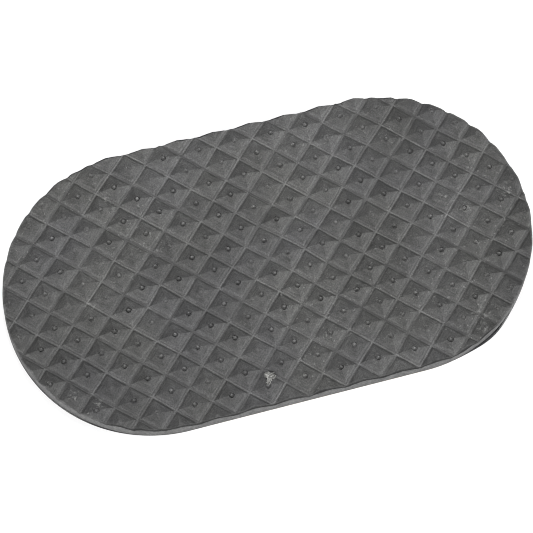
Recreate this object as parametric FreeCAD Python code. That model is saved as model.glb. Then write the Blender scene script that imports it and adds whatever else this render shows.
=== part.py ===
import FreeCAD, Part
import math
import os

# A snowboard stomp pad: a moulded foam pad with rows of low pyramids, an adhesive film under it,
# and a release liner in two halves under the film.
# Frame: +X along the pad, +Z up out of the gripping face, origin on the liner's underside below the centre.

# Driving dimensions, in millimetres
PAD_LENGTH = 180.0
PAD_WIDTH = 99.5
LINER_THICKNESS = 0.15
FILM_THICKNESS = 0.35
FOAM_TO_GROOVES = 4.1
PATTERN_DIAGONAL = 12.5
GROOVE_WIDTH = 1.0
FOOT_WIDTH = 0.5
FOOT_HEIGHT = 0.46
PYRAMID_HEIGHT = 1.48
PYRAMID_TOP = 2.2
RING_RADIUS = 1.0
RING_DEPTH = 0.35
PIP_RADIUS = 0.5
PIP_TOP = 2.45
PIP_CROWN_RADIUS = 0.8
PATTERN_SHIFT_Y = 0.5
LINER_SLIT = 0.3

# Worked out from the driving dimensions
END_RADIUS = PAD_WIDTH / 2
CELL = PATTERN_DIAGONAL / math.sqrt(2)
PYRAMID_BASE = CELL - GROOVE_WIDTH
PYRAMID_REACH = PYRAMID_BASE / math.sqrt(2)
FILM_Z = LINER_THICKNESS
FOAM_Z = FILM_Z + FILM_THICKNESS
GROOVE_Z = FOAM_Z + FOAM_TO_GROOVES
TOP_Z = GROOVE_Z + PIP_TOP
Z_AXIS = FreeCAD.Vector(0, 0, 1)


def stadium(z, height):
    """A flat slab with the pad's outline: straight long sides and half-round ends."""
    straight = PAD_LENGTH / 2 - END_RADIUS
    corners = [
        FreeCAD.Vector(-straight, -END_RADIUS, z),
        FreeCAD.Vector(straight, -END_RADIUS, z),
        FreeCAD.Vector(straight, END_RADIUS, z),
        FreeCAD.Vector(-straight, END_RADIUS, z),
    ]
    right_tip = FreeCAD.Vector(PAD_LENGTH / 2, 0, z)
    left_tip = FreeCAD.Vector(-PAD_LENGTH / 2, 0, z)
    edges = [
        Part.LineSegment(corners[0], corners[1]).toShape(),
        Part.Arc(corners[1], right_tip, corners[2]).toShape(),
        Part.LineSegment(corners[2], corners[3]).toShape(),
        Part.Arc(corners[3], left_tip, corners[0]).toShape(),
    ]
    return Part.Face(Part.Wire(edges)).extrude(Z_AXIS * height)


def square_wire(side, z):
    """A square of the given side, centred on the Z axis."""
    half = side / 2
    signs = [(-1, -1), (1, -1), (1, 1), (-1, 1), (-1, -1)]
    return Part.makePolygon([FreeCAD.Vector(sx * half, sy * half, z) for sx, sy in signs])


def pyramid():
    """One pyramid on the groove level: a steep foot, even faces, and a round pip in a ring-shaped hollow."""
    outlines = [
        square_wire(PYRAMID_BASE, 0),
        square_wire(PYRAMID_BASE - 2 * FOOT_WIDTH, FOOT_HEIGHT),
        square_wire(PYRAMID_TOP, PYRAMID_HEIGHT),
    ]
    body = Part.makeLoft(outlines, True, True)
    floor = FreeCAD.Vector(0, 0, PYRAMID_HEIGHT - RING_DEPTH)
    hollow = Part.makeCylinder(RING_RADIUS, RING_DEPTH, floor)
    crown_centre = FreeCAD.Vector(0, 0, PIP_TOP - PIP_CROWN_RADIUS)
    crown = Part.makeSphere(PIP_CROWN_RADIUS, crown_centre)
    pip = Part.makeCylinder(PIP_RADIUS, PIP_TOP - floor.z, floor).common(crown)
    return body.cut(hollow).fuse(pip)


def edge_distance(x, y):
    """How far inside the pad's outline a point lies."""
    past_straight = max(abs(x) - (PAD_LENGTH / 2 - END_RADIUS), 0)
    return END_RADIUS - math.hypot(past_straight, y)


def pyramid_centres():
    """The centres of all pyramids that reach inside the outline, on a square grid turned by 45 degrees."""
    step = PATTERN_DIAGONAL / 2
    columns = math.ceil(PAD_LENGTH / 2 / step) + 1
    rows = math.ceil(PAD_WIDTH / 2 / step) + 1
    for column in range(-columns, columns + 1):
        for row in range(-rows, rows + 1):
            if (column + row) % 2:
                x = column * step
                y = row * step + PATTERN_SHIFT_Y
                if edge_distance(x, y) > -PYRAMID_REACH:
                    yield x, y


def grip_pad():
    """The foam pad: a slab up to the groove level, and the pyramids on it, cut off at the outline."""
    slab = stadium(FOAM_Z, FOAM_TO_GROOVES)
    outline = stadium(GROOVE_Z, TOP_Z)
    one_pyramid = pyramid()
    pyramids = []
    for x, y in pyramid_centres():
        turned = one_pyramid.copy()
        turned.rotate(FreeCAD.Vector(0, 0, 0), Z_AXIS, 45)
        turned.translate(FreeCAD.Vector(x, y, GROOVE_Z))
        if edge_distance(x, y) < PYRAMID_REACH:
            turned = turned.common(outline)
        pyramids.extend(turned.Solids)
    return slab.fuse(pyramids).Solids[0]


def adhesive_film():
    """The pressure-sensitive film that holds the pad to the board, cut with the pad."""
    return stadium(FILM_Z, FILM_THICKNESS)


def liner_half(side):
    """One half of the release liner. side is -1 for the left half and 1 for the right half."""
    near_x = side * LINER_SLIT / 2
    far_x = side * PAD_LENGTH
    low_x = min(near_x, far_x)
    width = abs(far_x - near_x)
    corner = FreeCAD.Vector(low_x, -PAD_WIDTH, -LINER_THICKNESS)
    keep = Part.makeBox(width, 2 * PAD_WIDTH, 3 * LINER_THICKNESS, corner)
    return stadium(0, LINER_THICKNESS).common(keep).Solids[0]


def main():
    os.makedirs("parts", exist_ok=True)
    nodes = {
        "grip_pad": grip_pad(),
        "adhesive_film": adhesive_film(),
        "liner_left": liner_half(-1),
        "liner_right": liner_half(1),
    }
    for name, shape in nodes.items():
        shape.exportStep("parts/" + name + ".step")
        box = shape.BoundBox
        print(name, "valid", shape.isValid(), "solids", len(shape.Solids), "faces", len(shape.Faces),
              "volume", round(shape.Volume, 1), "z", round(box.ZMin, 3), round(box.ZMax, 3))


main()
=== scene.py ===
import math

import bmesh
import bpy
import numpy as np
from mathutils import Matrix, Vector


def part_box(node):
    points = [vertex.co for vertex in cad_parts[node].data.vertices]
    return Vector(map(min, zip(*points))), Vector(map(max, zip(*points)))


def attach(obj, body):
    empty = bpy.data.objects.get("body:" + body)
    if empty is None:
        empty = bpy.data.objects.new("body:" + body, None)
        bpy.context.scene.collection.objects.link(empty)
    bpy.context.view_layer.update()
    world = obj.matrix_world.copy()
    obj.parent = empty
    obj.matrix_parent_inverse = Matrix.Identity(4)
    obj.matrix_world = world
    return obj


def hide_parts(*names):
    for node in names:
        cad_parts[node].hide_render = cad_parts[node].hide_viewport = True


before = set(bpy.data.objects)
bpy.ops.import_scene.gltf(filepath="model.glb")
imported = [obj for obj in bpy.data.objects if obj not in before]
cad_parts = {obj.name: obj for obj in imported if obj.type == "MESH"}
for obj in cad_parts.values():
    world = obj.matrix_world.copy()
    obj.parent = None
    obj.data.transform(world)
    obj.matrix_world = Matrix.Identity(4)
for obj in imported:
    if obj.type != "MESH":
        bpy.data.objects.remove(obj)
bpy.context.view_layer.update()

MM = 0.001

# The foam pad's outline and pattern. The pattern is a square grid of pyramids turned by 45 degrees.
foam_low, foam_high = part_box("grip_pad")
PAD_LENGTH = foam_high.x - foam_low.x
PAD_WIDTH = foam_high.y - foam_low.y
END_RADIUS = PAD_WIDTH / 2
HALF_STRAIGHT = (PAD_LENGTH - PAD_WIDTH) / 2
FOAM_Z = foam_low.z
GROOVE_Z = FOAM_Z + 4.1 * MM
PATTERN_DIAGONAL = 12.5 * MM
CELL = PATTERN_DIAGONAL / math.sqrt(2)
PATTERN_SHIFT_Y = 0.50 * MM

# A pyramid's sides: half of the groove's flat floor, a steep foot, then an even face. A sharp groove
# has a tight bend into its foot and a bead along its floor, and a soft one has a wide bend.
FLOOR_HALF = 0.45 * MM
FOOT_END = 0.90 * MM
FOOT_END_BEND = 0.20 * MM
SHARP_FOOT_SLOPE, SHARP_BEND = 0.95, 0.10 * MM
SOFT_FOOT_SLOPE, SOFT_BEND = 0.80, 0.60 * MM
FACE_SLOPE = 0.38
APEX_HEIGHT = 1.92 * MM
BEAD_HEIGHT = 0.05 * MM
BEAD_HALF = 0.25 * MM
RIDGE_ROUNDING = 0.05 * MM

# How soft the grooves are, from 0 to 1. The sharp ones' stretches lie between 0 and a limit and the soft
# ones' between a limit and 1, apart from a share of each that are half-way.
SHARP_MOST, SHARP_WORN_SHARE, SHARP_WORN = 0.35, 0.2, 0.6
SOFT_LEAST, SOFT_CRISP_SHARE, SOFT_CRISP = 0.7, 0.15, 0.4

# A pyramid's top: a ring-shaped hollow whose wall is between two radii, and a pip in it whose side is too
RING_RADIUS = 1.0 * MM
RING_WALL = (0.82 * RING_RADIUS, RING_RADIUS)
RING_DEPTH = 0.25 * MM
PIP_RADIUS = 0.50 * MM
PIP_SIDE = (0.50 * PIP_RADIUS, 1.35 * PIP_RADIUS)
PIP_TOP = 2.45 * MM
PIP_CROWN = 0.12 * MM

# How fully formed the pips are: the share of them that are faint, the share that are faint or low, and
# their strength. The whole ones lie about a middle strength. By the edge a pip begins to show between the
# first two distances from the outline, and is as it would be elsewhere between the second two.
FAINT_PIPS, FAINT_PIP = 0.10, 0.25
LOW_PIPS, LOW_PIP = 0.26, 0.6
WHOLE_PIP, WHOLE_PIP_SPREAD = 0.9, 0.2
PIPS_BEGIN = (1.0 * MM, 2.2 * MM)
PIPS_FULL = (2.5 * MM, 6 * MM)

# How uneven the moulding is
WARP = 0.20 * MM
SWELL_HEIGHT = 0.06 * MM
RIPPLE_HEIGHT = 0.05 * MM
CREASE_HEIGHT = 0.02 * MM
HEIGHT_SPREAD = 0.26
PIP_SHIFT = 0.3 * MM
OUTLINE_WOBBLE = 0.06 * MM

# The skin's lightness: its middle value, random patches, painted light that is brighter towards the far side
# and darker towards the near side, and painted shade towards both ends
MIDDLE_TONE = 1.045
PATCH_TONE = 0.095
FAR_SIDE_LIGHT = 0.075
ENDS_SHADE = -0.23
RANDOM_FACE_TONE = 0.125
# Painted shade by a pyramid's height: a taller one's front faces lighter, its back faces darker
HEIGHT_FACE_SHADE = 0.12

# Painted light and shade along the grooves: a painted highlight on a sharp groove's floor, painted shade
# just beside it, a lit foot on the side with that sign, a shaded foot on the other side, and painted shade
# on a soft groove's floor
LINE_EDGE = (0.10 * MM, 0.36 * MM)
SHARP_LINE_HIGHLIGHT = 0.50
LINE_SPREAD = 0.75
BESIDE_EDGE = (0.42 * MM, 0.55 * MM)
BESIDE_SHADE = -0.10
LIT_FOOT_AT, LIT_FOOT_WIDTH, SHARP_FOOT_NARROWER = 0.85 * MM, 0.42 * MM, 0.10 * MM
SHADED_FOOT_AT, SHADED_FOOT_WIDTH = 0.66 * MM, 0.24 * MM
SOFT_FOOT_LESS_SHADE = 0.16
ACROSS_LINES = {"lit_side": -1, "lit_foot": 0.18, "shaded_foot": 0.0, "shaded_soft_floor": 0.28}
ALONG_LINES = {"lit_side": 1, "lit_foot": 0.20, "shaded_foot": 0.38, "shaded_soft_floor": 0.42}

# Painted light at the pips: painted highlights on the crowns, a little to one side, in hollows with painted
# shade at the front and a little painted light at the back
CROWN_HIGHLIGHT, CROWN_HIGHLIGHT_SPREAD = 0.66, 0.9
CROWN_HIGHLIGHT_SHIFT = 0.14 * MM
CROWN_EDGE = (0.80 * PIP_RADIUS, 1.45 * PIP_RADIUS)
HOLLOW_EDGE = (0.85 * RING_RADIUS, RING_RADIUS)
HOLLOW_FRONT_SHADE, HOLLOW_BACK_LIGHT = -0.47, 0.10
HOLLOW_FRONT_SLOPE = 0.65

# The skin's torn edge round the pad, in rows as (share of its width outwards, drop, tone): it rolls over
# and under, and its dark tone is partly the skin's own darker colour and partly painted shade under the lip.
# It fades out towards the pad's round ends, and below it is the open cut.
SKIN_EDGE = 0.50 * MM
SKIN_EDGE_SPREAD = 0.45
SKIN_EDGE_REACH = 69 * MM
SKIN_EDGE_FADE = 7 * MM
SKIN_EDGE_ROWS = ((0.35, 0.10 * MM, 0.30), (0.75, 0.24 * MM, 0.18), (1.0, 0.45 * MM, 0.15),
                  (0.45, 0.72 * MM, 0.18), (0.7, 0.95 * MM, 0.75))
# Painted shade on the wall's top edge, under the lip
RIM_SHADE = 0.6
WALL_ROWS = 5
WALL_HOLLOW = 0.10 * MM
WALL_GRAIN = 0.05 * MM
WALL_GRAIN_SKEW = 1.7
# Painted shade towards the wall's foot, by the floor
WALL_FOOT_SHADE = -0.15

# Rings of one pyramid's mesh: squares by their distance from the groove, then circles by radius
SQUARE_RINGS = [d * MM for d in (0.0, 0.14, 0.28, 0.38, 0.50, 0.66, 0.84, 1.02, 1.35, 1.9, 2.9)]
ROUND_RINGS = [r * MM for r in (1.15, 1.02, 0.92, 0.78, 0.58, 0.47, 0.36, 0.2)]
STEPS_PER_SIDE = 5
PYRAMID_REACH = 0.8 * CELL
CUT_HALVINGS = 20
CREASE_ANGLE = math.radians(20)

# Places where the skin is scuffed: x, y and spread
SCUFFS = [(x * MM, y * MM, spread * MM) for x, y, spread in (
    (-68, -35, 2.2), (-71, -38, 1.6), (-74.5, -30, 2.0), (-61.5, 0, 1.8), (63, -37, 2.2), (62, -42, 1.8),
    (84.5, 3, 3.0), (63, 7, 2.0), (69, 1, 2.2), (-47, 35, 1.8))]

# Where the adhesive's dark lip reaches out beyond the foam, widened as painted shadow under the foam's edge:
# direction from the round end's centre, how far, spread
ADHESIVE_AND_SHADE_REACH = ((math.radians(-60), 1.0 * MM, 9 * MM), (math.radians(-134), 0.42 * MM, 27 * MM))
ADHESIVE_LEAST = 0.02 * MM
# The adhesive's lip in section: how far its back is tucked in and at which shares of the film's height,
# then its front as (share of how far it shows, share of the film's height)
LIP_TUCK = 0.5 * MM
LIP_BACK = (0.02, 1.3)
LIP_SECTION = ((0.0, 0.02), (0.75, 0.05), (1.0, 0.4), (0.85, 0.8), (0.0, 1.3))
LIP_STEP = 0.8 * MM

# A scrap of torn foam that clings to the skin near the front edge: its middle, and its lumps,
# each as x, y, radius and height from that middle
SCRAP_MIDDLE = (-10.9 * MM, -40.6 * MM)
SCRAP_LUMPS = [(x * MM, y * MM, r * MM, h * MM) for x, y, r, h in (
    (-0.60, 1.00, 1.35, 0.95), (0.70, 0.60, 1.25, 0.85),
    (-0.65, -0.65, 0.90, 0.55), (-1.20, -1.80, 0.72, 0.60))]
SCRAP_REACH, SCRAP_REACH_STEPS = 3.4 * MM, 200
SCRAP_DOME = 1.1
SCRAP_EDGE = 0.35
SCRAP_RAGGED = 0.13
SCRAP_ROUGH = 0.14 * MM
SCRAP_LIFT = 0.18 * MM
SCRAP_SINK = 0.5 * MM
SCRAP_TURNS, SCRAP_RINGS = 72, 14

# The stage, in metres
FLOOR_Z = -0.02 * MM
FLOOR_HALF_SIDE = 5.0
FLOOR_BASE = 0.32
STAGE_GLOW = 0.72
BACKDROP_RADIUS = 4.9
BACKDROP_HEIGHT = 4.0
BACKDROP_STEPS = 64

# The softboxes: azimuth and elevation in degrees, distance in metres, then width, height and watts as if
# the light were 1 m away
SOFTBOXES = {
    "left": (199, 24, 1.3, 0.38, 0.32, 6.2),
    "front": (268, 28, 1.3, 0.58, 0.38, 7.6),
    "right": (341, 24, 1.3, 0.38, 0.32, 6.9),
    "overhead": (76, 63, 0.8, 0.35, 0.35, 7.3),
}
WORLD_LIGHT = 0.10

# The camera: where it looks, and from where
CAMERA_TARGET = Vector((-0.00093, -0.00039, 0))
CAMERA_DISTANCE = 0.8512
CAMERA_AZIMUTH = math.radians(-19.7)
CAMERA_ELEVATION = math.radians(68.0)
CAMERA_ROLL = math.radians(4.44)
CAMERA_LENS = 171.1
CAMERA_SENSOR = 36.0
CAMERA_CLIP_START = 0.01


# ---------------------------------------------------------------- seeded irregularity

def smooth_noise(seed, wavelength, waves=12):
    """A smooth function of x and y with values of about -1 to 1 and features of that wavelength."""
    rng = np.random.default_rng(seed)
    angle = rng.uniform(0, 2 * math.pi, waves)
    length = wavelength * rng.uniform(0.7, 1.6, waves)
    kx = 2 * math.pi / length * np.cos(angle)
    ky = 2 * math.pi / length * np.sin(angle)
    phase = rng.uniform(0, 2 * math.pi, waves)

    def value(x, y):
        x = np.asarray(x, float)[..., None]
        y = np.asarray(y, float)[..., None]
        return np.sin(x * kx + y * ky + phase).sum(-1) / math.sqrt(waves / 2) / 1.5

    return value


def cell_random(seed):
    """A function that gives each grid cell, by its two whole numbers, its own value from 0 to 1."""
    table = np.random.default_rng(seed).random((64, 64))

    def value(a, b):
        return table[np.asarray(a, int) % 64, np.asarray(b, int) % 64]

    return value


warp_x = smooth_noise(11, 26 * MM)
warp_y = smooth_noise(12, 24 * MM)
swell = smooth_noise(13, 45 * MM)
ripple = smooth_noise(14, 7 * MM, 18)
crease = smooth_noise(15, 2.4 * MM, 24)
outline_wobble = smooth_noise(16, 22 * MM)
wall_grain = smooth_noise(17, 1.3 * MM, 24)
soft_across = cell_random(21)
soft_along = cell_random(22)
pip_size = cell_random(23)
pip_shift_x = cell_random(24)
pip_shift_y = cell_random(25)
height_share = cell_random(26)
line_tone_across = cell_random(27)
line_tone_along = cell_random(28)
pip_highlight = cell_random(29)
face_tones = [cell_random(31 + side) for side in range(4)]
patch_tone = smooth_noise(35, 65 * MM)
skin_edge_width = smooth_noise(36, 6 * MM, 18)
scrap_outline = smooth_noise(41, 1.1 * MM, 24)
scrap_lumps = smooth_noise(42, 0.7 * MM, 24)


# ---------------------------------------------------------------- the foam pad's surface

def to_pad(p, q):
    """A point's x and y on the pad from its grid coordinates, in which whole numbers lie on grooves."""
    x = (p + q) * CELL / math.sqrt(2)
    y = (q - p) * CELL / math.sqrt(2) + PATTERN_SHIFT_Y
    return x + WARP * warp_x(x, y), y + WARP * warp_y(x, y)


def smooth_step(low, high, value):
    share = np.clip((value - low) / (high - low), 0, 1)
    return share * share * (3 - 2 * share)


def smooth_min(a, b, reach):
    blend = np.clip(0.5 + 0.5 * (b - a) / reach, 0, 1)
    return b * (1 - blend) + a * blend - reach * blend * (1 - blend)


def side_profile(bend, foot_slope):
    """Height beside a groove against the distance from it: floor, steep foot, then the even face."""
    distance = np.linspace(0, CELL / 2, 500)
    foot = smooth_step(FLOOR_HALF - bend / 2, FLOOR_HALF + bend / 2, distance)
    face = smooth_step(FOOT_END - FOOT_END_BEND / 2, FOOT_END + FOOT_END_BEND / 2, distance)
    slope = foot * (foot_slope * (1 - face) + FACE_SLOPE * face)
    rise = np.concatenate([[0], np.cumsum((slope[1:] + slope[:-1]) / 2 * np.diff(distance))])
    return distance, rise * (APEX_HEIGHT / rise[-1])


SHARP_SIDE = side_profile(SHARP_BEND, SHARP_FOOT_SLOPE)
SOFT_SIDE = side_profile(SOFT_BEND, SOFT_FOOT_SLOPE)


def groove_side(distance, softness):
    """Height beside a groove: sharp, with a bead along its floor, at softness 0, and round at 1."""
    sharp = np.interp(distance, *SHARP_SIDE)
    bead = BEAD_HEIGHT * (1 - smooth_step(0, BEAD_HALF, distance))
    soft = np.interp(distance, *SOFT_SIDE)
    return (sharp + bead) * (1 - softness) + soft * softness


def softness_of(line, segment, random_of):
    """Odd grooves are sharp and even ones soft, each stretch a little differently and some half-way."""
    value = random_of(line, segment)
    sharp = np.where(value > 1 - SHARP_WORN_SHARE, SHARP_WORN, SHARP_MOST * value)
    soft = np.where(value < SOFT_CRISP_SHARE, SOFT_CRISP, SOFT_LEAST + (1 - SOFT_LEAST) * value)
    return np.where(line % 2 == 1, sharp, soft)


def lower_side(p, line, segment, random_of):
    """Height beside the two grooves, line and the next one, that a pyramid lies between: the lower one."""
    before = groove_side((p - line) * CELL, softness_of(line, segment, random_of))
    after = groove_side((line + 1 - p) * CELL, softness_of(line + 1, segment, random_of))
    return np.minimum(before, after)


def pip_strength(a, b):
    """How fully formed a pyramid's pip is: most are whole, some low or faint, and faint by the edge."""
    size = pip_size(a, b)
    strength = np.where(size < LOW_PIPS, LOW_PIP, WHOLE_PIP + WHOLE_PIP_SPREAD * (size - 0.5))
    strength = np.where(size < FAINT_PIPS, FAINT_PIP, strength)
    inside = -outline_distance(*to_pad(a + 0.5, b + 0.5))
    return strength * smooth_step(*PIPS_BEGIN, inside) * (0.5 + 0.5 * smooth_step(*PIPS_FULL, inside))


def surface_height(p, q):
    """Height of the foam's top over the groove level, from grid coordinates."""
    a, b = np.floor(p).astype(int), np.floor(q).astype(int)
    low_p = lower_side(p, a, b, soft_across)
    low_q = lower_side(q, b, a, soft_along)
    height = smooth_min(low_p, low_q, RIDGE_ROUNDING)
    height = height * (1 + HEIGHT_SPREAD * (height_share(a, b) - 0.5))

    strength = pip_strength(a, b)
    dx = (p - a - 0.5) * CELL + PIP_SHIFT * (pip_shift_x(a, b) - 0.5)
    dy = (q - b - 0.5) * CELL + PIP_SHIFT * (pip_shift_y(a, b) - 0.5)
    radius = np.hypot(dx, dy)
    seat = APEX_HEIGHT - FACE_SLOPE * RING_RADIUS
    hollow = 1 - smooth_step(*RING_WALL, radius)
    floor = np.minimum(height, seat) - RING_DEPTH * strength * hollow
    height = np.where(radius < RING_RADIUS, floor, height)
    pip = 1 - smooth_step(*PIP_SIDE, radius)
    top = seat + (PIP_TOP - seat) * strength - PIP_CROWN * (radius / PIP_RADIUS) ** 2
    height = height * (1 - pip) + top * pip

    x, y = to_pad(p, q)
    return height + RIPPLE_HEIGHT * ripple(x, y) + CREASE_HEIGHT * crease(x, y) + SWELL_HEIGHT * swell(x, y)


def groove_light_and_shade(p, segment, random_of, tone_of, look):
    """Painted light and shade of the grooves that run one way: a painted highlight added on the sharp floors
    and painted shade on the soft ones, and the factor beside them of painted shade and a lit foot.
    """
    line = np.round(p).astype(int)
    near = p - line
    distance = np.abs(near) * CELL
    sharp = 1 - softness_of(line, segment, random_of)
    strip = 1 - smooth_step(*LINE_EDGE, distance)
    spread = LINE_SPREAD * (tone_of(line, segment) - 0.5)
    added = strip * (SHARP_LINE_HIGHLIGHT * sharp - look["shaded_soft_floor"] * (1 - sharp) + spread)

    beside = (1 - strip) * (1 - smooth_step(*BESIDE_EDGE, distance))
    paler_width = LIT_FOOT_WIDTH - SHARP_FOOT_NARROWER * sharp
    paler = 1 + look["lit_foot"] * np.exp(-((distance - LIT_FOOT_AT) / paler_width) ** 2)
    shade = np.exp(-((distance - SHADED_FOOT_AT) / SHADED_FOOT_WIDTH) ** 2)
    darker = 1 - (look["shaded_foot"] - SOFT_FOOT_LESS_SHADE * (1 - sharp)) * shade
    foot = np.where(near * look["lit_side"] > 0, paler, darker)
    return added, (1 + BESIDE_SHADE * beside * sharp) * foot


def pip_highlight_and_shade(p, q, a, b):
    """The factor of painted light at a pyramid's top: a painted highlight on the pip's crown, painted shade
    in the front of its hollow and a little painted light at its back.
    """
    u, v = (p - a - 0.5) * CELL, (q - b - 0.5) * CELL
    from_crown = np.hypot(u + CROWN_HIGHLIGHT_SHIFT, v - CROWN_HIGHLIGHT_SHIFT)
    crown = 1 - smooth_step(*CROWN_EDGE, from_crown)
    hollow = (1 - crown) * (1 - smooth_step(*HOLLOW_EDGE, np.hypot(u, v)))
    front = np.clip(0.5 + HOLLOW_FRONT_SLOPE * (u - v) / RING_RADIUS, 0, 1)
    shown = np.minimum(pip_strength(a, b), 1)
    paler = 1 + shown * crown * (CROWN_HIGHLIGHT + CROWN_HIGHLIGHT_SPREAD * pip_highlight(a, b) ** 2)
    return paler * (1 + shown * hollow * (HOLLOW_FRONT_SHADE * front ** 2 + HOLLOW_BACK_LIGHT * (1 - front)))


def surface_tone_and_shade(p, q):
    """How light the skin is there: random patches, painted light and shade over the pad, painted highlights
    along the sharp grooves and on the pips' crowns, and painted shade beside the grooves and in the pips'
    hollows.
    """
    a, b = np.floor(p).astype(int), np.floor(q).astype(int)
    x, y = to_pad(p, q)
    tone = MIDDLE_TONE + PATCH_TONE * patch_tone(x, y)
    # Painted light: brighter towards the far side and darker towards the near side, and painted shade
    # towards both ends
    tone = tone + FAR_SIDE_LIGHT * y / END_RADIUS + ENDS_SHADE * (x / (PAD_LENGTH / 2)) ** 2
    across_floor_light, across_side_light = groove_light_and_shade(p, b, soft_across, line_tone_across, ACROSS_LINES)
    along_floor_light, along_side_light = groove_light_and_shade(q, a, soft_along, line_tone_along, ALONG_LINES)
    # Of the two grooves' painted light on the floor, the stronger one counts
    line = np.where(np.abs(along_floor_light) > np.abs(across_floor_light), along_floor_light, across_floor_light)
    return tone * across_side_light * along_side_light * (1 + line) * pip_highlight_and_shade(p, q, a, b)


def face_tone_and_shade(p, q):
    """Each of a pyramid's four faces is a little lighter or darker than its neighbours at random, and
    painted shade makes a taller pyramid's front faces lighter and its back faces darker.
    """
    a, b = np.floor(p).astype(int), np.floor(q).astype(int)
    dp, dq = p - a - 0.5, q - b - 0.5
    side = np.where(np.abs(dp) > np.abs(dq), np.where(dp > 0, 0, 1), np.where(dq > 0, 2, 3))
    value = np.choose(side, [tone(a, b) for tone in face_tones])
    to_front = np.choose(side, [1, -1, -1, 1])
    return 1 + RANDOM_FACE_TONE * (value - 0.5) + HEIGHT_FACE_SHADE * to_front * (height_share(a, b) - 0.5)


def scuff_share(x, y):
    """How scuffed the skin is there, from 0 to 1."""
    share = np.zeros_like(x)
    for place_x, place_y, spread in SCUFFS:
        share = np.maximum(share, np.exp(-((x - place_x) ** 2 + (y - place_y) ** 2) / spread ** 2))
    return share


def outline_distance(x, y):
    """How far outside the die-cut outline a point lies."""
    past = np.maximum(np.abs(x) - HALF_STRAIGHT, 0)
    return np.hypot(past, y) - END_RADIUS - OUTLINE_WOBBLE * (1 - outline_wobble(x, y))


def edge_width(x, y):
    """How wide the skin's rolled edge is there."""
    return SKIN_EDGE * (1 + SKIN_EDGE_SPREAD * skin_edge_width(x, y))


def skin_distance(x, y):
    """How far outside the flat part of the skin a point lies."""
    return outline_distance(x, y) + edge_width(x, y)


def along_outline(x, y):
    """A number that grows along the outline, counter-clockwise, for sorting points on it."""
    front_start, right_middle, back_start, left_start = 0, 5, 10, 15
    if abs(x) <= HALF_STRAIGHT:
        return front_start + HALF_STRAIGHT + x if y < 0 else back_start + HALF_STRAIGHT - x
    if x > HALF_STRAIGHT:
        return right_middle + math.atan2(y, x - HALF_STRAIGHT)
    turn = math.atan2(y, x + HALF_STRAIGHT)
    return left_start + (turn if turn > 0 else turn + 2 * math.pi)


# ---------------------------------------------------------------- meshes

def new_piece(name, vertices, faces, materials, smooth=True):
    """A mesh object of those points and faces, in the scene."""
    mesh = bpy.data.meshes.new(name)
    mesh.from_pydata(vertices, [], faces)
    mesh.polygons.foreach_set("use_smooth", np.full(len(mesh.polygons), smooth))
    for material in materials:
        mesh.materials.append(material)
    obj = bpy.data.objects.new(name, mesh)
    bpy.context.scene.collection.objects.link(obj)
    return obj


def clean(mesh, merge_within=None):
    """Drops points that no face uses, joins points that lie on one another, and turns the faces outwards."""
    work = bmesh.new()
    work.from_mesh(mesh)
    bmesh.ops.delete(work, geom=[vert for vert in work.verts if not vert.link_faces], context="VERTS")
    if merge_within is not None:
        bmesh.ops.remove_doubles(work, verts=work.verts, dist=merge_within)
    bmesh.ops.recalc_face_normals(work, faces=work.faces)
    work.to_mesh(mesh)
    work.free()


def ring_points(size, is_square):
    """One ring of a pyramid's mesh about its centre, in grid directions, starting at a corner."""
    points = []
    for side in range(4):
        for step in range(STEPS_PER_SIDE):
            share = 2 * step / STEPS_PER_SIDE - 1
            if is_square:
                u, v = size, share * size
            else:
                turn = share * math.pi / 4
                u, v = size * math.cos(turn), size * math.sin(turn)
            for _ in range(side):
                u, v = -v, u
            points.append((u, v))
    return points


def pattern_mesh():
    """Points, in grid coordinates, and faces of the whole grid of pyramids."""
    rings = [ring_points(0.5 - d / CELL, True) for d in SQUARE_RINGS]
    rings += [ring_points(r / CELL, False) for r in ROUND_RINGS]
    count = len(rings[0])
    points, faces, index_of = [], [], {}

    def index(p, q):
        key = (round(p * 10000), round(q * 10000))
        if key not in index_of:
            index_of[key] = len(points)
            points.append((p, q))
        return index_of[key]

    reach = math.ceil(PAD_LENGTH / CELL)
    for a in range(-reach, reach):
        for b in range(-reach, reach):
            middle = (a + 0.5, b + 0.5)
            if outline_distance(*to_pad(*middle)) > PYRAMID_REACH:
                continue
            loops = [[index(middle[0] + dp, middle[1] + dq) for dp, dq in ring] for ring in rings]
            for outer, inner in zip(loops, loops[1:]):
                for k in range(count):
                    n = (k + 1) % count
                    faces.append((outer[k], outer[n], inner[n], inner[k]))
            centre = index(*middle)
            for k in range(count):
                faces.append((loops[-1][k], loops[-1][(k + 1) % count], centre))
    return np.array(points), faces


def crossing(start, end, start_outside):
    """The point between two others, one inside and one outside, where the flat skin ends: by halving."""
    low, high = 0.0, 1.0
    for _ in range(CUT_HALVINGS):
        middle = (low + high) / 2
        if (skin_distance(*to_pad(*(start + (end - start) * middle))) > 0) == start_outside:
            low = middle
        else:
            high = middle
    return start + (end - start) * low


def clip_to_outline(points, faces):
    """Cuts the grid off at the outline. Returns points, faces, and the cut's points in order."""
    outside = skin_distance(*to_pad(points[:, 0], points[:, 1])) > 0
    kept, cuts, extra = [], {}, []

    def cut(i, j):
        key = (min(i, j), max(i, j))
        if key not in cuts:
            cuts[key] = len(points) + len(extra)
            extra.append(crossing(points[key[0]], points[key[1]], outside[key[0]]))
        return cuts[key]

    for face in faces:
        out = [outside[i] for i in face]
        if not any(out):
            kept.append(face)
        elif not all(out):
            part = []
            for k, i in enumerate(face):
                n = (k + 1) % len(face)
                if not out[k]:
                    part.append(i)
                if out[k] != out[n]:
                    part.append(cut(i, face[n]))
            if len(part) >= 3:
                kept.append(tuple(part))
    points = np.vstack([points, extra])
    rim = sorted(cuts.values(), key=lambda i: along_outline(*to_pad(*points[i])))
    return points, kept, rim


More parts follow.
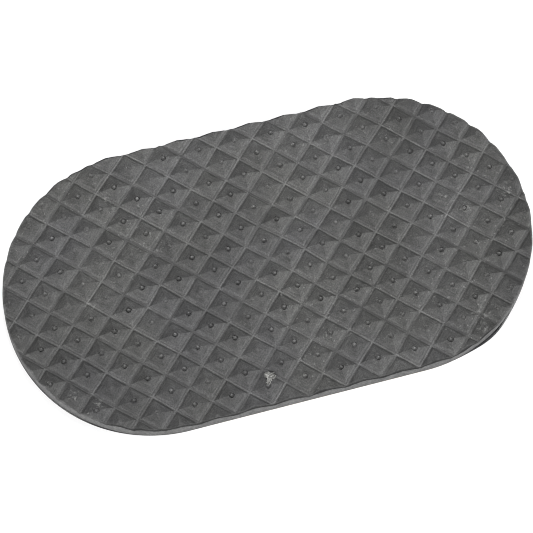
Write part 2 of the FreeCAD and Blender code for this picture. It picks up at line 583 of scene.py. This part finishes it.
def wall_rows(rim):
    """Rows of points over the skin's edge and down the die-cut side, and how light each point is: the skin
    edge's darker colour with painted shade under its lip, and painted shade towards the wall's foot.
    """
    outward = rim[:, :2].copy()
    outward[:, 0] -= np.clip(rim[:, 0], -HALF_STRAIGHT, HALF_STRAIGHT)
    outward /= np.linalg.norm(outward, axis=1)[:, None]
    width = edge_width(rim[:, 0], rim[:, 1])
    fade_start, fade_end = SKIN_EDGE_REACH - SKIN_EDGE_FADE, SKIN_EDGE_REACH + SKIN_EDGE_FADE
    shown = 1 - smooth_step(fade_start, fade_end, np.abs(rim[:, 0]))
    rows = []
    for share, drop, tone in SKIN_EDGE_ROWS:
        xy = rim[:, :2] + outward * (width * (1 - (1 - share) * shown))[:, None]
        rows.append((np.column_stack([xy, rim[:, 2] - drop]), 1 - (1 - tone) * shown))
    start = rim[:, 2] - SKIN_EDGE_ROWS[-1][1]
    for row in range(1, WALL_ROWS + 1):
        share = row / WALL_ROWS
        z = start * (1 - share) + FOAM_Z * share
        grain = wall_grain(rim[:, 0] + z, rim[:, 1] + z * WALL_GRAIN_SKEW)
        depth = (WALL_HOLLOW + WALL_GRAIN * grain) * math.sin(math.pi * share)
        xy = rim[:, :2] + outward * (width - depth)[:, None]
        rows.append((np.column_stack([xy, z]), np.full(len(rim), 1.0 + WALL_FOOT_SHADE * share ** 4)))
    return rows


def make_grip_pad(foam, cut_foam):
    """The foam pad: its moulded top, the skin's edge, the cut side, and a flat underside."""
    points, top_faces, rim = clip_to_outline(*pattern_mesh())
    p, q = points[:, 0], points[:, 1]
    x, y = to_pad(p, q)
    top = np.column_stack([x, y, GROOVE_Z + surface_height(p, q)])
    count, size = len(points), len(rim)
    blocks, rows, side_tones_and_shade = [top], [rim], [np.ones(count)]
    for row_points, row_tone_and_shade in wall_rows(top[rim]):
        blocks.append(row_points)
        rows.append(list(range(count, count + size)))
        side_tones_and_shade.append(row_tone_and_shade)
        count += size
    blocks.append([[0.0, 0.0, FOAM_Z]])
    side_tones_and_shade.append(np.ones(1))
    side_tone_and_shade = np.concatenate(side_tones_and_shade)
    side_tone_and_shade[rim] = RIM_SHADE
    side_faces = []
    for upper, lower in zip(rows, rows[1:]):
        for k in range(size):
            n = (k + 1) % size
            side_faces.append((upper[k], lower[k], lower[n], upper[n]))
    side_faces += [(rows[-1][(k + 1) % size], rows[-1][k], count) for k in range(size)]

    vertices = np.vstack(blocks)
    obj = new_piece("grip_pad_foam", vertices.tolist(), top_faces + side_faces, [foam, cut_foam])
    mesh = obj.data
    material = np.zeros(len(mesh.polygons), np.int32)
    material[len(top_faces):] = 1
    mesh.polygons.foreach_set("material_index", material)

    # The top's tone carries painted highlight and shade as well as random patches and faces; the side's
    # carries painted shade
    top_tone_and_shade = surface_tone_and_shade(p, q)
    middles = np.array([points[list(face)].mean(0) for face in top_faces])
    face_share = face_tone_and_shade(middles[:, 0], middles[:, 1])
    tones_and_shade = [top_tone_and_shade[i] * share for face, share in zip(top_faces, face_share) for i in face]
    tones_and_shade += [side_tone_and_shade[i] for face in side_faces for i in face]
    mesh.attributes.new("tone", "FLOAT", "CORNER").data.foreach_set("value", np.array(tones_and_shade, np.float32))
    scuffs = np.concatenate([scuff_share(x, y), np.zeros(len(vertices) - len(points))])
    mesh.attributes.new("scuff", "FLOAT", "POINT").data.foreach_set("value", scuffs.astype(np.float32))
    mesh.update()
    clean(mesh)
    mark_cut_edges(mesh)
    mesh.validate()
    return obj


def mark_cut_edges(mesh):
    """Marks creases, the edges between the moulded top and the cut side, and the underside's, as sharp."""
    kind = np.zeros(len(mesh.polygons), np.int32)
    mesh.polygons.foreach_get("material_index", kind)
    sides = {}
    for polygon in mesh.polygons:
        down = polygon.normal.z < -0.9
        for key in polygon.edge_keys:
            sides.setdefault(key, set()).add((kind[polygon.index], down))
    mesh.set_sharp_from_angle(angle=CREASE_ANGLE)
    sharp = [edge.use_edge_sharp or len(sides.get(edge.key, ())) > 1 for edge in mesh.edges]
    mesh.edges.foreach_set("use_edge_sharp", sharp)


def adhesive_and_shade_overhang(x, y):
    """How far the dark lip lies outside the outline there: the adhesive's edge, and further where it stands
    in for the shadow under the foam's edge.
    """
    overhang = ADHESIVE_LEAST
    for turn, most, spread in ADHESIVE_AND_SHADE_REACH:
        place_x = math.copysign(HALF_STRAIGHT, math.cos(turn)) + END_RADIUS * math.cos(turn)
        away = math.hypot(x - place_x, y - END_RADIUS * math.sin(turn))
        overhang += most * math.exp(-(away / spread) ** 2)
    return overhang


def outline_points(step):
    """Points and outward directions round the outline, counter-clockwise, about a step apart."""
    points = []
    for side in (-1, 1):
        count = round(2 * HALF_STRAIGHT / step)
        for k in range(count):
            x = side * (HALF_STRAIGHT - 2 * HALF_STRAIGHT * k / count)
            points.append((x, side * END_RADIUS, 0, side))
        count = round(math.pi * END_RADIUS / step)
        for k in range(count):
            turn = side * math.pi / 2 + math.pi * k / count
            points.append((-side * HALF_STRAIGHT + END_RADIUS * math.cos(turn), END_RADIUS * math.sin(turn),
                           math.cos(turn), math.sin(turn)))
    return points


def make_adhesive_and_shade_rim(material):
    """The adhesive that shows as a dark line under the foam, widened in two places as painted shadow under
    the foam's edge: a closed ring with a rounded lip.
    """
    low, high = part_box("adhesive_film")
    thickness = high.z - low.z
    vertices, faces = [], []
    outline = outline_points(LIP_STEP)
    for x, y, nx, ny in outline:
        reach = adhesive_and_shade_overhang(x, y)
        section = [(-LIP_TUCK, LIP_BACK[0])] + [(out * reach, up) for out, up in LIP_SECTION]
        section.append((-LIP_TUCK, LIP_BACK[1]))
        vertices += [(x + nx * out, y + ny * out, low.z + thickness * up) for out, up in section]
    size = len(LIP_SECTION) + len(LIP_BACK)
    for k in range(len(outline)):
        n = (k + 1) % len(outline)
        for i in range(size):
            j = (i + 1) % size
            faces.append((k * size + i, n * size + i, n * size + j, k * size + j))
    obj = new_piece("adhesive_and_shade_rim", vertices, faces, [material])
    clean(obj.data)
    return obj


def scrap_reach(angle):
    """How far the scrap reaches from its middle in each direction: to its lumps' far side, ragged."""
    reach = np.zeros(len(angle))
    for k, turn in enumerate(angle):
        ray = np.linspace(0, SCRAP_REACH, SCRAP_REACH_STEPS)
        x, y = ray * math.cos(turn), ray * math.sin(turn)
        inside = np.any([np.hypot(x - cx, y - cy) < r for cx, cy, r, h in SCRAP_LUMPS], axis=0)
        reach[k] = ray[inside].max()
    return reach * (1 + SCRAP_RAGGED * scrap_outline(reach * np.cos(angle), reach * np.sin(angle)))


def scrap_height(x, y):
    """The scrap's thickness over the skin, from its middle."""
    dome = np.zeros(len(x))
    for cx, cy, r, h in SCRAP_LUMPS:
        away = ((x - cx) ** 2 + (y - cy) ** 2) / (SCRAP_DOME * r) ** 2
        dome = np.maximum(dome, h * np.sqrt(np.clip(1 - away, 0, 1)))
    return dome + SCRAP_ROUGH * scrap_lumps(x, y) + SCRAP_LIFT


def make_foam_scrap(material):
    """Rings round the scrap's middle, out to its ragged outline, then a skirt down into the skin."""
    angle = np.arange(SCRAP_TURNS) * 2 * math.pi / SCRAP_TURNS
    reach = scrap_reach(angle)
    vertices, faces = [], []
    for ring in range(SCRAP_RINGS + 2):
        share = min(ring / SCRAP_RINGS, 1.0)
        x, y = share * reach * np.cos(angle), share * reach * np.sin(angle)
        height = scrap_height(x, y)
        if ring == SCRAP_RINGS:
            height = height * SCRAP_EDGE
        if ring > SCRAP_RINGS:
            height = np.full(SCRAP_TURNS, -SCRAP_SINK)
        px, py = x + SCRAP_MIDDLE[0], y + SCRAP_MIDDLE[1]
        p = (px - py + PATTERN_SHIFT_Y) / (CELL * math.sqrt(2))
        q = (px + py - PATTERN_SHIFT_Y) / (CELL * math.sqrt(2))
        vertices += list(zip(px, py, GROOVE_Z + surface_height(p, q) + height))
    for ring in range(SCRAP_RINGS + 1):
        outer = (ring + 1) * SCRAP_TURNS
        inner = ring * SCRAP_TURNS
        for k in range(SCRAP_TURNS):
            n = (k + 1) % SCRAP_TURNS
            faces.append((inner + k, outer + k, outer + n, inner + n))
    faces.append(tuple((SCRAP_RINGS + 1) * SCRAP_TURNS + k for k in reversed(range(SCRAP_TURNS))))
    obj = new_piece("foam_scrap", vertices, faces, [material])
    clean(obj.data, merge_within=0.0001 * MM)
    return obj


# ---------------------------------------------------------------- materials

def as_colour(value):
    """A colour, where a plain number means that grey."""
    return value if isinstance(value, tuple) else (value, value, value)


class Look:
    """A material, and the nodes that make its colour, roughness and bump."""

    def __init__(self, name):
        self.material = bpy.data.materials.new(name)
        self.material.use_nodes = True
        self.nodes = self.material.node_tree.nodes
        self.links = self.material.node_tree.links
        self.shader = self.nodes["Principled BSDF"]

    def put(self, socket, value):
        """Gives one of the shader's inputs a node's output or a plain value."""
        if isinstance(value, bpy.types.NodeSocket):
            self.links.new(value, self.shader.inputs[socket])
        else:
            self.shader.inputs[socket].default_value = value

    def noise(self, scale, detail, stretch=None, turn=0.0):
        """Noise fixed to the object, with that many features to a metre. stretch scales its coordinates
        along each axis, and turn then turns them about Z. Returns its value's socket."""
        coordinates = self.nodes.new("ShaderNodeTexCoord")
        noise = self.nodes.new("ShaderNodeTexNoise")
        noise.inputs["Scale"].default_value = scale
        noise.inputs["Detail"].default_value = detail
        source = coordinates.outputs["Object"]
        if stretch is not None:
            mapping = self.nodes.new("ShaderNodeMapping")
            mapping.inputs["Rotation"].default_value = (0, 0, turn)
            mapping.inputs["Scale"].default_value = stretch
            self.links.new(source, mapping.inputs["Vector"])
            source = mapping.outputs["Vector"]
        self.links.new(source, noise.inputs["Vector"])
        return noise.outputs["Fac"]

    def mesh_value(self, name):
        """One of the foam mesh's own values: tone is its lightness, with painted highlight and shade, scuff
        how scuffed it is.
        """
        node = self.nodes.new("ShaderNodeAttribute")
        node.attribute_name = name
        return node.outputs["Color"]

    def ramp(self, source, *stops):
        """A colour ramp on a value. stops are (position, colour), where a plain number is a grey."""
        node = self.nodes.new("ShaderNodeValToRGB")
        elements = node.color_ramp.elements
        while len(elements) < len(stops):
            elements.new(0.5)
        for element, (position, colour) in zip(elements, stops):
            element.position = position
            element.color = (*as_colour(colour), 1)
        self.links.new(source, node.inputs["Fac"])
        return node.outputs["Color"]

    def mix(self, kind, first, second, factor=1.0):
        """Two colours mixed. Each value is a node's output, a colour or a number."""
        node = self.nodes.new("ShaderNodeMix")
        node.data_type = "RGBA"
        node.blend_type = kind
        for name, value in (("A", first), ("B", second), ("Factor", factor)):
            socket = next(s for s in node.inputs if s.name == name and s.enabled)
            if isinstance(value, float):
                socket.default_value = value
            elif isinstance(value, tuple):
                socket.default_value = (*value, 1)
            else:
                self.links.new(value, socket)
        return next(s for s in node.outputs if s.enabled)

    def bump(self, *layers):
        """Bump from several (height socket, strength, depth in metres) layers, one on the other."""
        normal = None
        for height, strength, depth in layers:
            node = self.nodes.new("ShaderNodeBump")
            node.inputs["Strength"].default_value = strength
            node.inputs["Distance"].default_value = depth
            self.links.new(height, node.inputs["Height"])
            if normal is not None:
                self.links.new(normal, node.inputs["Normal"])
            normal = node.outputs["Normal"]
        self.put("Normal", normal)


def foam_skin():
    """The moulded skin of the foam: charcoal, dull, mottled, with streaks that follow each pyramid."""
    look = Look("foam_skin")
    patches = look.noise(40, 3)
    mottle = look.noise(420, 4)
    streak = look.noise(260, 3, stretch=(1.0, 1.0, 20.0))
    grain = look.noise(2200, 3)
    colour = look.ramp(patches, (0.35, (0.0580, 0.0580, 0.0588)), (0.62, (0.0596, 0.0596, 0.0577)))
    for source, strength, spread in ((mottle, 0.13, 0.16), (streak, 0.18, 0.15), (grain, 0.31, 0.18)):
        shade = look.ramp(source, (0.5 - spread, 1 - strength), (0.5 + spread, 1 + strength))
        colour = look.mix("MULTIPLY", colour, shade)
    # The mesh's tone brings in painted highlights and painted shade along with the skin's random tones
    colour = look.mix("MULTIPLY", colour, look.mesh_value("tone"))

    flecks = look.ramp(look.noise(900, 2), (0.645, 0.0), (0.71, 1.0))
    flecked = look.ramp(look.noise(22, 2), (0.46, 0.0), (0.62, 0.60))
    flecks = look.mix("MULTIPLY", flecks, flecked)
    scrapes = look.ramp(look.noise(850, 4), (0.53, 0.0), (0.64, 1.0))
    scrapes = look.mix("MULTIPLY", scrapes, look.mesh_value("scuff"))
    worn = look.mix("LIGHTEN", flecks, scrapes)
    look.put("Base Color", look.mix("MIX", colour, (0.17, 0.17, 0.165), worn))
    look.put("Roughness", look.ramp(mottle, (0.3, 0.46), (0.7, 0.62)))
    look.put("Specular IOR Level", 0.3)
    look.bump((streak, 0.5, 0.10 * MM), (mottle, 0.4, 0.10 * MM), (grain, 0.5, 0.06 * MM))
    return look.material


def foam_cut():
    """The die-cut side of the foam: lighter, open-celled and rough."""
    look = Look("foam_cut")
    cells = look.noise(1500, 4)
    drag = look.noise(420, 3, stretch=(1.0, 1.0, 0.25))
    colour = look.ramp(cells, (0.3, (0.078, 0.078, 0.079)), (0.7, (0.142, 0.142, 0.140)))
    colour = look.mix("MULTIPLY", colour, look.ramp(drag, (0.35, 0.85), (0.65, 1.12)))
    # The mesh's tone adds the skin edge's darker colour, with painted shade under its lip and towards the
    # wall's foot
    look.put("Base Color", look.mix("MULTIPLY", colour, look.mesh_value("tone")))
    look.put("Roughness", 0.9)
    look.put("Specular IOR Level", 0.3)
    look.bump((drag, 0.4, 0.1 * MM), (cells, 0.6, 0.08 * MM))
    return look.material


def torn_foam():
    """The scrap's foam: paler than the skin, ragged, with deep pits darkened as painted shade."""
    look = Look("torn_foam")
    pits = look.noise(1300, 4)
    shaded_pit, middle, ragged = (0.07, 0.07, 0.067), (0.16, 0.16, 0.153), (0.30, 0.30, 0.288)
    # Dark in the pits as painted shade and paler where the foam stands up, by the same noise as the bump
    look.put("Base Color", look.ramp(pits, (0.32, shaded_pit), (0.5, middle), (0.66, ragged)))
    look.put("Roughness", 0.85)
    look.bump((pits, 0.8, 0.2 * MM))
    return look.material


def adhesive():
    """The black pressure-sensitive film."""
    look = Look("adhesive_film")
    flow = look.noise(180, 3)
    look.put("Base Color", look.ramp(flow, (0.3, (0.012, 0.012, 0.013)), (0.7, (0.020, 0.020, 0.021))))
    look.put("Roughness", look.ramp(flow, (0.3, 0.30), (0.7, 0.42)))
    look.bump((flow, 0.3, 0.05 * MM))
    return look.material


def liner_paper():
    """The release liner: light kraft paper with a silicone face."""
    look = Look("liner_paper")
    fibre = look.noise(900, 5, stretch=(1.0, 0.35, 1.0), turn=0.4)
    cloud = look.noise(60, 3)
    colour = look.ramp(fibre, (0.25, (0.40, 0.31, 0.20)), (0.8, (0.54, 0.44, 0.31)))
    look.put("Base Color", look.mix("MULTIPLY", colour, look.ramp(cloud, (0.3, 0.88), (0.7, 1.0))))
    look.put("Roughness", look.ramp(fibre, (0.3, 0.38), (0.7, 0.50)))
    look.bump((fibre, 0.2, 0.03 * MM))
    return look.material


def give_material(node, material):
    """Puts a material on a CAD node."""
    node_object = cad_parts[node]
    if not node_object.material_slots:
        node_object.data.materials.append(None)
    for material_slot in node_object.material_slots:
        material_slot.material = material


# ---------------------------------------------------------------- stage, light and camera

def make_stage(name, vertices, faces, base):
    """A floor or backdrop of one plain pale material, which glows so that it stays even."""
    look = Look(name + "_pale")
    look.put("Base Color", (base, base, base, 1))
    look.put("Emission Color", (1, 1, 1, 1))
    look.put("Emission Strength", STAGE_GLOW)
    look.put("Roughness", 0.9)
    look.put("Specular IOR Level", 0.1)
    obj = new_piece(name, vertices, faces, [look.material], smooth=False)
    return obj


def make_floor():
    half, z = FLOOR_HALF_SIDE, FLOOR_Z
    corners = [(-half, -half, z), (half, -half, z), (half, half, z), (-half, half, z)]
    make_stage("floor", corners, [(0, 1, 2, 3)], FLOOR_BASE)


def make_backdrop():
    """A far wall all round the floor, which only the camera sees, so it adds no light."""
    vertices, faces = [], []
    for k in range(BACKDROP_STEPS):
        turn = 2 * math.pi * k / BACKDROP_STEPS
        x, y = BACKDROP_RADIUS * math.cos(turn), BACKDROP_RADIUS * math.sin(turn)
        vertices += [(x, y, FLOOR_Z), (x, y, BACKDROP_HEIGHT)]
        n = (k + 1) % BACKDROP_STEPS
        faces.append((2 * k, 2 * n, 2 * n + 1, 2 * k + 1))
    backdrop = make_stage("backdrop", vertices, faces, 0.0)
    backdrop.visible_diffuse = False
    backdrop.visible_glossy = False
    backdrop.visible_transmission = False
    backdrop.visible_shadow = False


def direction_to(azimuth, elevation):
    """A direction from its angle round from +X and its angle up."""
    return Vector((math.cos(elevation) * math.cos(azimuth), math.cos(elevation) * math.sin(azimuth),
                   math.sin(elevation)))


def softbox(name, azimuth, elevation, distance, width, height, watts):
    """A soft light that faces the pad's middle."""
    direction = direction_to(math.radians(azimuth), math.radians(elevation))
    light = bpy.data.lights.new(name, "AREA")
    light.shape = "RECTANGLE"
    light.size, light.size_y = width * distance, height * distance
    light.energy = watts * distance ** 2
    obj = bpy.data.objects.new(name, light)
    obj.location = direction * distance
    obj.rotation_euler = (-direction).to_track_quat("-Z", "Y").to_euler()
    obj.visible_camera = False
    bpy.context.scene.collection.objects.link(obj)


def make_lights():
    """Three low softboxes round the front, one high behind the pad, and an even light."""
    world = bpy.data.worlds.new("studio")
    world.use_nodes = True
    background = world.node_tree.nodes["Background"]
    background.inputs["Color"].default_value = (1, 1, 1, 1)
    background.inputs["Strength"].default_value = WORLD_LIGHT
    bpy.context.scene.world = world
    for name, settings in SOFTBOXES.items():
        softbox(name, *settings)


def make_camera():
    """Looks down at the pad from its front left, a little rolled, through a long lens."""
    back = direction_to(CAMERA_AZIMUTH - math.pi / 2, CAMERA_ELEVATION)
    camera = bpy.data.cameras.new("camera")
    camera.lens = CAMERA_LENS
    camera.sensor_width = CAMERA_SENSOR
    camera.clip_start = CAMERA_CLIP_START
    obj = bpy.data.objects.new("camera", camera)
    turn = (-back).to_track_quat("-Z", "Y").to_matrix() @ Matrix.Rotation(CAMERA_ROLL, 3, "Z")
    obj.matrix_world = Matrix.Translation(CAMERA_TARGET + back * CAMERA_DISTANCE) @ turn.to_4x4()
    bpy.context.scene.collection.objects.link(obj)
    bpy.context.scene.camera = obj


# ---------------------------------------------------------------- the scene

make_camera()
make_lights()
make_floor()
make_backdrop()

pad = make_grip_pad(foam_skin(), foam_cut())
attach(pad, "pad")
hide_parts("grip_pad")

adhesive_black = adhesive()
give_material("adhesive_film", adhesive_black)
rim = make_adhesive_and_shade_rim(adhesive_black)
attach(rim, "pad")

scrap = make_foam_scrap(torn_foam())
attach(scrap, "pad")

liner = liner_paper()
give_material("liner_left", liner)
give_material("liner_right", liner)

bpy.context.scene.view_settings.view_transform = "Standard"
bpy.context.scene.cycles.filter_width = 1.0
